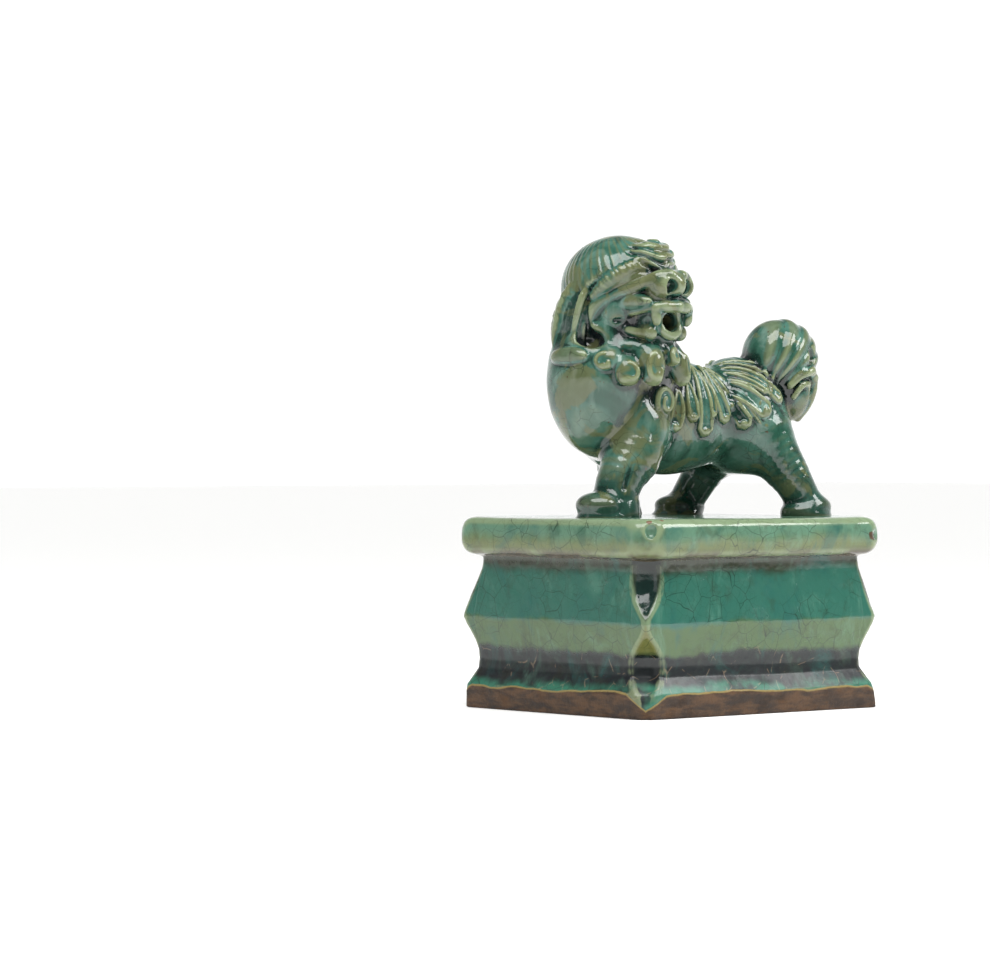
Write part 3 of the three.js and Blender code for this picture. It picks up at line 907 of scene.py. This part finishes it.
# Small losses: under the rim at the near corner and the tail end, and on the foot at its end and middle.
chips = [
    ((-long + 1.5, -wide - 1.5, slabOver - 4.5), (2.6, 2.2, 3.6)),
    ((long - 3, -wide - 3.6, slabOver - 8), (3.2, 1.2, 2.4)),
    ((long + 4.2, -wide - 2, 4), (3, 3, 4)),
    ((20, -wide - 5, 9), (6, 1.6, 1.8)),
]
for at, size in chips:
    plinth.carve(lump(at, size), 0.6)
print("plinth built up")


def tint(code):
    # A hex colour as linear light.
    parts = [int(code[k:k + 2], 16) / 255 for k in (0, 2, 4)]
    linear = [p / 12.92 if p <= 0.04045 else ((p + 0.055) / 1.055) ** 2.4 for p in parts]
    return (*linear, 1.0)

class Recipe:
    # A material's nodes, with short ways to wire them. The colour is built up in layers over a base.
    def __init__(self, name, look, base):
        self.material = bpy.data.materials.new(name)
        self.material.use_nodes = True
        self.nodes = self.material.node_tree.nodes
        self.links = self.material.node_tree.links
        self.nodes.clear()
        self.place = self.nodes.new("ShaderNodeTexCoord").outputs["Object"]
        self.look = look
        self.colour = tint(look[base])

    def put(self, kind, **settings):
        node = self.nodes.new(kind)
        for key, value in settings.items():
            setattr(node, key, value)
        return node

    def wire(self, value, socket):
        if isinstance(value, bpy.types.NodeSocket):
            self.links.new(value, socket)
        else:
            socket.default_value = value

    def sum(self, operation, a, b, clamp=False):
        node = self.put("ShaderNodeMath", operation=operation, use_clamp=clamp)
        self.wire(a, node.inputs[0])
        self.wire(b, node.inputs[1])
        return node.outputs[0]

    def times(self, a, b):
        return self.sum("MULTIPLY", a, b)

    def plus(self, a, b, clamp=False):
        return self.sum("ADD", a, b, clamp)

    def sway(self, noise, width):
        # a noise turned into a swing about nought
        return self.times(self.sum("SUBTRACT", noise, 0.5), width)

    def level(self):
        # millimetres above the table
        axes = self.put("ShaderNodeSeparateXYZ")
        self.wire(self.place, axes.inputs[0])
        return self.times(axes.outputs[2], perMetre)

    def stretched(self, scale=(1, 1, 1), shift=(0, 0, 0)):
        node = self.put("ShaderNodeMapping")
        self.wire(self.place, node.inputs["Vector"])
        node.inputs["Scale"].default_value = scale
        node.inputs["Location"].default_value = shift
        return node.outputs[0]

    def noise(self, size, detail=3.0, where=None, distortion=0.0, rough=0.5):
        # size is the width of a patch in millimetres
        node = self.put("ShaderNodeTexNoise")
        self.wire(where or self.place, node.inputs["Vector"])
        node.inputs["Scale"].default_value = perMetre / size
        node.inputs["Detail"].default_value = detail
        node.inputs["Roughness"].default_value = rough
        node.inputs["Distortion"].default_value = distortion
        return node.outputs[0]

    def ramp(self, value, low, high):
        # 0 at low and 1 at high, whichever of them is the greater
        node = self.put("ShaderNodeMapRange", interpolation_type="SMOOTHSTEP", clamp=True)
        self.wire(value, node.inputs["Value"])
        self.wire(low, node.inputs["From Min"])
        self.wire(high, node.inputs["From Max"])
        return node.outputs[0]

    def mix(self, share, a, b):
        node = self.put("ShaderNodeMix", data_type="RGBA")
        self.wire(share, node.inputs[0])
        self.wire(a, node.inputs[6])
        self.wire(b, node.inputs[7])
        return node.outputs[2]

    def layer(self, shade, share, strength=None):
        # lays a shade over the colour so far
        if strength is not None:
            share = self.times(share, strength)
        self.colour = self.mix(share, self.colour, tint(self.look[shade]))

    def number(self, name):
        return self.put("ShaderNodeAttribute", attribute_name=name, attribute_type="GEOMETRY").outputs["Fac"]

    def cracks(self, cell, width, seed=0.0):
        # thin lines between cells, wandering a little; 1 on a line
        wander = self.noise(cell * 1.3, 2.0).node.outputs["Color"]
        bend = self.put("ShaderNodeVectorMath", operation="MULTIPLY_ADD")
        self.wire(wander, bend.inputs[0])
        bend.inputs[1].default_value = (cell * 0.55 / perMetre,) * 3
        self.wire(self.stretched(shift=(seed, seed * 0.7, seed * 0.4)), bend.inputs[2])
        edge = self.put("ShaderNodeTexVoronoi", feature="DISTANCE_TO_EDGE")
        self.wire(bend.outputs[0], edge.inputs["Vector"])
        edge.inputs["Scale"].default_value = perMetre / cell
        return self.sum("SUBTRACT", 1.0, self.ramp(edge.outputs["Distance"], 0.0, width), clamp=True)

    def finish(self, roughness, height):
        look = self.look
        skin = self.put("ShaderNodeBsdfPrincipled")
        self.wire(self.colour, skin.inputs["Base Color"])
        self.wire(roughness, skin.inputs["Roughness"])
        skin.inputs["IOR"].default_value = look["ior"]
        skin.inputs["Coat Weight"].default_value = look["coat"]
        skin.inputs["Coat Roughness"].default_value = look["coatRough"]
        if "glow" in look:
            skin.inputs["Emission Color"].default_value = tint("ffffff")
            skin.inputs["Emission Strength"].default_value = look["glow"]
        bump = self.put("ShaderNodeBump")
        bump.inputs["Strength"].default_value = 1.0
        bump.inputs["Distance"].default_value = look["bump"] / perMetre
        self.wire(height, bump.inputs["Height"])
        self.links.new(bump.outputs[0], skin.inputs["Normal"])
        end = self.put("ShaderNodeOutputMaterial")
        self.links.new(skin.outputs[0], end.inputs["Surface"])
        return self.material


glaze = {
    "teal": "3f6659", "emerald": "234b3c", "deep": "0b261f", "hollowShade": "080f11", "slate": "2b2b31",
    "olive": "5f6240", "pale": "84906c", "milk": "869f92", "crack": "121f1a", "rust": "43301f",
    "ior": 1.52, "coat": 0.25, "coatRough": 0.03, "bump": 0.32,
    "darkerBelow": (120.0, 104.0),  # darker downwards between these heights
}


def dogGlaze(name, olive, dark):
    # olive is how much shows on ridges, and dark how much pools in hollows
    r = Recipe(name, glaze, "emerald")
    fine, form, hollow = r.number("fine"), r.number("form"), r.number("hollow")
    runs = r.noise(9.0, 4.0, r.stretched((1, 1, 0.4)), 0.6)
    patches = r.noise(17.0, 3.0, None, 0.8)
    r.layer("teal", r.ramp(patches, 0.36, 0.62))
    r.layer("milk", r.ramp(runs, 0.5, 0.72), 0.35)
    r.layer("deep", r.ramp(runs, 0.46, 0.3), 0.6)
    # thin over ridges and pooled thick in the small recesses; the deep hollows get painted shade
    r.layer("olive", r.ramp(r.plus(fine, r.sway(patches, 0.3)), 0.02, 0.17), olive)
    r.layer("pale", r.ramp(fine, 0.14, 0.3), 0.6)
    r.layer("deep", r.ramp(r.plus(form, r.times(fine, 1.5)), -0.02, -0.42), dark)
    # painted shade: the deepest hollows are laid near-black
    r.layer("hollowShade", r.ramp(r.plus(hollow, form), -0.55, -1.7), 0.9)
    # painted shade in the deep hollows, tinted purple as the glaze is there
    shadedPurple = r.times(r.ramp(hollow, -0.35, -0.9), r.ramp(r.noise(7.0, 2.0), 0.45, 0.6))
    r.layer("slate", shadedPurple, 0.38)
    # darker low on the legs and under the belly
    low = r.plus(r.level(), r.times(patches, 16.0))
    r.layer("deep", r.ramp(low, *glaze["darkerBelow"]), 0.5)
    # bare olive patches and brown specks where the glaze ran off, and crackle in places
    bare = r.noise(19.0, 4.0, r.stretched(shift=(0.31, 0.2, 0.1)), 1.0)
    r.layer("olive", r.ramp(bare, 0.53, 0.6), 0.7)
    specks = r.noise(2.6, 2.0, r.stretched(shift=(0.5, 0.1, 0.2)))
    r.layer("rust", r.ramp(specks, 0.7, 0.76), 0.8)
    where = r.ramp(r.noise(15.0, 2.0, r.stretched(shift=(0.1, 0.7, 0.3))), 0.46, 0.6)
    r.layer("crack", r.times(r.cracks(5.2, 0.035), where), 0.65)
    rough = r.plus(0.07, r.times(r.ramp(r.noise(6.0, 4.0), 0.5, 0.75), 0.14))
    return r.finish(rough, r.plus(r.times(r.noise(2.4, 2.0), 0.35), r.noise(7.0, 2.0)))


plinthGlaze = {
    "rimTop": "587a64", "rimLow": "5f6a3e", "bellyTop": "2c6052", "bellyLow": "465f38", "neck": "2a2814",
    "deepTeal": "1f5650", "light": "6b9a84", "brown": "4a4030", "amber": "6a6838", "greenEdge": "2c6a55",
    "black": "0d1417", "foot": "14181c", "line": "8d7b48", "clay": "54391f", "clayDark": "2a1c11",
    "blush": "a98f74", "crack": "15251c", "emerald": glaze["emerald"], "pale": glaze["pale"],
    "stain": "4a3a2a", "chipped": "6e5643",
    "ior": 1.5, "coat": 0.15, "coatRough": 0.08, "bump": 0.35,
    # heights above the table between which a shade comes in
    "bands": {
        "rimTop": (70.0, 76.5), "rimUnderShade": (68.2, 65.8), "rimBrown": (70.5, 66.5), "bellyTop": (37.6, 40.6),
        "neck": (58.0, 63.0), "black": (28.5, 25.5), "foot": (20.0, 15.5), "greenEdge": (15.0, 11.5),
        "scuffs": (30.0, 25.0), "dull": (28.0, 24.0), "line": (9.4, 10.0), "bare": (10.6, 10.2),
    },
    # bare spots: where, how big and what shade
    "marks": [
        ((long - 7, -wide - 3, slabOver - 8.5), 2.2, "stain"),
        ((3 - long, 1 - wide, slabOver - 1.5), 1.3, "chipped"),
        ((8 - long, -1 - wide, slabOver - 1.2), 1.0, "chipped"),
    ],
}


def between(r, height, band):
    return r.ramp(height, *plinthGlaze["bands"][band])


def wandering(r, level):
    # the level with its edges swaying and running
    jitter = r.noise(5.0, 3.0, r.stretched((1, 1, 0.35)))
    return r.plus(level, r.plus(r.sway(r.noise(38.0, 3.0), 9.0), r.sway(jitter, 3.0)))


def mottle(r):
    # blotches and dirt, and thin glaze over edges
    blotch = r.noise(22.0, 5.0, r.stretched((1, 1, 0.7), (0.2, 0.5, 0.3)), 1.2, 0.6)
    r.layer("deepTeal", r.ramp(blotch, 0.5, 0.3), 0.55)
    r.layer("light", r.ramp(blotch, 0.52, 0.72), 0.25)
    r.layer("neck", r.ramp(r.noise(11.0, 6.0, None, 0.4, 0.7), 0.5, 0.68), 0.35)
    r.layer("pale", r.ramp(r.number("fine"), 0.1, 0.28), 0.6)


def age(r):
    # bare spots and crackle; gives the roughness and the bumps
    for at, radius, shade in plinthGlaze["marks"]:
        gap = r.put("ShaderNodeVectorMath", operation="DISTANCE")
        r.wire(r.place, gap.inputs[0])
        gap.inputs[1].default_value = [v / perMetre for v in at]
        ragged = r.plus(r.times(gap.outputs["Value"], perMetre), r.sway(r.noise(2.5, 3.0), radius * 1.6))
        r.layer(shade, r.ramp(ragged, radius, radius * 0.8))
    where = r.ramp(r.noise(30.0, 2.0, r.stretched(shift=(0.4, 0.1, 0.6))), 0.36, 0.5)
    lines = r.sum("MAXIMUM", r.cracks(9.5, 0.02, 0.3), r.times(r.cracks(4.2, 0.024, 0.9), 0.55))
    r.layer("crack", r.times(lines, where), 0.75)
    rough = r.plus(0.09, r.times(r.ramp(r.noise(9.0, 4.0), 0.5, 0.75), 0.2))
    return rough, r.plus(r.times(r.noise(3.0, 2.0), 0.25), r.noise(12.0, 2.0))


def rimGlaze():
    r = Recipe("rim glaze", plinthGlaze, "rimLow")
    level = r.level()
    r.layer("rimTop", between(r, wandering(r, level), "rimTop"))
    r.layer("emerald", r.ramp(r.noise(14.0, 4.0), 0.42, 0.3), 0.5)
    # painted shade: the underside of the rim is laid in the dark neck colour
    r.layer("neck", between(r, level, "rimUnderShade"))
    mottle(r)
    r.layer("brown", r.times(between(r, level, "rimBrown"), r.ramp(r.noise(16.0, 4.0), 0.35, 0.6)))
    return r.finish(*age(r))


def panelGlaze():
    r = Recipe("panel glaze", plinthGlaze, "bellyLow")
    level = r.level()
    height = wandering(r, level)
    r.layer("bellyTop", between(r, height, "bellyTop"))
    # the dark band just under the rim: the neck's brownish glaze, and painted shadow of the rim's overhang
    r.layer("neck", between(r, height, "neck"), 0.9)
    r.layer("black", between(r, height, "black"))
    r.layer("foot", between(r, height, "foot"))
    mottle(r)
    # painted reflection: the cut corners are laid near-black for the dark room they face
    r.layer("black", r.number("corner"), 0.85)
    r.layer("amber", r.number("amber"), 0.8)
    r.layer("greenEdge", r.times(between(r, height, "greenEdge"), r.ramp(r.noise(13.0, 3.0), 0.35, 0.55)))
    scuffs = r.times(r.cracks(17.0, 0.02, 1.7), between(r, height, "scuffs"))
    r.layer("blush", r.times(scuffs, r.ramp(r.noise(4.0, 3.0), 0.5, 0.6)), 0.3)
    rough, bumps = age(r)
    # bare clay under a ragged glaze line at the foot, and inside the box
    edge = r.plus(r.plus(level, r.sway(r.noise(24.0, 4.0), 5.0)), r.times(r.number("drip"), 6.0))
    grain = r.noise(5.0, 6.0, r.stretched((0.45, 0.45, 1.6)), 0.3, 0.65)
    clay = r.mix(r.ramp(grain, 0.36, 0.66), tint(plinthGlaze["clayDark"]), tint(plinthGlaze["clay"]))
    clay = r.mix(r.times(between(r, edge, "line"), 0.85), clay, tint(plinthGlaze["line"]))
    bare = r.sum("MAXIMUM", between(r, edge, "bare"), r.number("inside"))
    r.colour = r.mix(bare, r.colour, clay)
    rough = r.plus(rough, r.times(bare, 0.65), clamp=True)
    bumps = r.plus(bumps, r.times(bare, r.noise(1.2, 4.0)))
    # the glaze is dull in the lower neck
    dull = r.times(between(r, height, "dull"), r.sum("SUBTRACT", 1.0, bare, clamp=True))
    rough = r.plus(rough, r.times(dull, 0.28), clamp=True)
    return r.finish(rough, bumps)


finishes = {
    "body_glaze": dogGlaze("body glaze", 0.55, 0.8),
    "relief_glaze": dogGlaze("relief glaze", 0.85, 0.85),
    "rim_glaze": rimGlaze(),
    "panel_glaze": panelGlaze(),
}


def slotOf(node):
    if node == "plinth_top_slab":
        return "rim_glaze"
    if node.startswith(("plinth", "corner")):
        return "panel_glaze"
    if node.startswith(("beard", "mane", "shoulder")) or node == "tail_tip":
        return "relief_glaze"
    return "body_glaze"


print("finishes mixed")


# Where the panels and strips are bare clay, cut corner (painted dark, as the dark room it reflects), amber
# corner or drip, for the glaze to follow.
def wallNumbers(points):
    x, y, z = points.T
    away = np.abs(np.abs(x) - np.abs(y) - (long - wide)) / math.sqrt(2)
    facet = np.interp(z, wallHeights, wallFacets) / math.sqrt(2)
    facetShare = np.clip((facet - away) / 1.2, 0, 1)
    return {
        "inside": ((cavityDistance(x, y, 1.0) < 0) & (z < slabUnder + 2)).astype(float),
        "corner": facetShare * np.interp(z, (12, 18, 26, 28, 39.5, 42), (0, 1, 1, 0, 0, 1)),
        "amber": facetShare * np.interp(z, (26, 28, 38, 39.5), (0, 1, 1, 0)),
        "drip": np.clip(1 - away / 8.5, 0, 1),
    }


# Each share of clay becomes a piece. Its numbers say how far it stands out from blurs of these radii.
relief = {"fine": 1.1, "form": 3.2, "hollow": 6.5}
for clay in (dog, plinth):
    fields = {label: clay.blurred(radius) for label, radius in relief.items()}
    for node in clay.made:
        points, faces = mainShell(*clay.piece(node))
        numbers = {label: clay.sample(field, points) for label, field in fields.items()}
        if clay is plinth:
            numbers.update(wallNumbers(points))
        piece = makeObject("glazed_" + node, points, faces, numbers)
        piece.data.materials.append(finishes[slotOf(node)])
        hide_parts(node)
        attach(piece, "root")
print("pieces made")


studio = {
    "camera": (-1167, -1269, 110),
    "heading": -40.1,
    "pitch": -0.48,
    "lens": 145.45,
    "airBehind": 1.1,
    "airInFront": 0.12,
    "airFalls": 1.5,
    "airTurn": (-0.5, 0.8),
    "overhead": 2.5,
    "overheadSpread": 120,
    "lamps": [
        # where it stands, what it looks at, size across and up, and strength
        ((-170, -330, 950), (0, 0, 120), (1000, 560), 10.0),
        ((-900, 160, 260), (0, 0, 110), (260, 520), 0.35),
        ((560, -620, 720), (0, 0, 100), (420, 420), 4.6),
    ],
}


def aim(obj, at, target):
    obj.location = Vector(at) / perMetre
    obj.rotation_euler = (Vector(target) - Vector(at)).to_track_quat("-Z", "Y").to_euler()


cameraData = bpy.data.cameras.new("camera")
cameraData.lens = studio["lens"]
cameraData.sensor_width = 36
cameraData.clip_end = 20
camera = placed("camera", cameraData)
camera.location = Vector(studio["camera"]) / perMetre
camera.rotation_euler = (math.radians(90 + studio["pitch"]), 0, math.radians(studio["heading"]))
bpy.context.scene.camera = camera
for number, (at, target, size, strength) in enumerate(studio["lamps"]):
    lampData = bpy.data.lights.new(f"softbox {number + 1}", "AREA")
    lampData.shape = "RECTANGLE"
    lampData.size, lampData.size_y = size[0] / perMetre, size[1] / perMetre
    lampData.energy = strength
    lamp = placed(f"softbox {number + 1}", lampData)
    aim(lamp, at, target)
skyData = bpy.data.lights.new("ceiling", "SUN")
skyData.energy = studio["overhead"]
skyData.angle = math.radians(studio["overheadSpread"])
sky = placed("ceiling", skyData)
sky.visible_glossy = False
# The air is bright behind the object and dim in front, so the glaze keeps its depth between the softboxes.
heading = math.radians(studio["heading"])
world = bpy.data.worlds.new("studio air")
bpy.context.scene.world = world
world.use_nodes = True
air = world.node_tree
towards = air.nodes.new("ShaderNodeVectorMath")
towards.operation = "DOT_PRODUCT"
towards.inputs[1].default_value = (-math.sin(heading), math.cos(heading), -studio["airFalls"])
air.links.new(air.nodes.new("ShaderNodeTexCoord").outputs["Generated"], towards.inputs[0])
fade = air.nodes.new("ShaderNodeMapRange")
fade.interpolation_type = "SMOOTHSTEP"
fade.inputs["From Min"].default_value, fade.inputs["From Max"].default_value = studio["airTurn"]
fade.inputs["To Min"].default_value = studio["airInFront"]
fade.inputs["To Max"].default_value = studio["airBehind"]
air.links.new(towards.outputs["Value"], fade.inputs["Value"])
air.links.new(fade.outputs[0], air.nodes["Background"].inputs["Strength"])
air.nodes["Background"].inputs["Color"].default_value = tint("ffffff")

# The paper floor glows a little, so that it stays even out to the horizon.
paper = {
    "sheet": "f6f6f4", "fleck": "fafaf9", "ior": 1.4, "coat": 0.0, "coatRough": 0.3, "bump": 0.02,
    "glow": 0.07, "reach": 9000.0, "lines": 13,
}
rows = paper["lines"]
grid = np.linspace(-paper["reach"], paper["reach"], rows)
floorPoints = np.array([(x, y, 0.0) for y in grid for x in grid])
firsts = [r * rows + c for r in range(rows - 1) for c in range(rows - 1)]
floorFaces = np.array([(k, k + 1, k + rows + 1, k + rows) for k in firsts])
floor = makeObject("floor", floorPoints, floorFaces)
sheet = Recipe("paper floor", paper, "sheet")
sheet.layer("fleck", sheet.noise(30.0, 3.0))
floor.data.materials.append(sheet.finish(0.7, sheet.noise(3.0)))
bpy.context.scene.view_settings.view_transform = "Standard"
print("studio set")
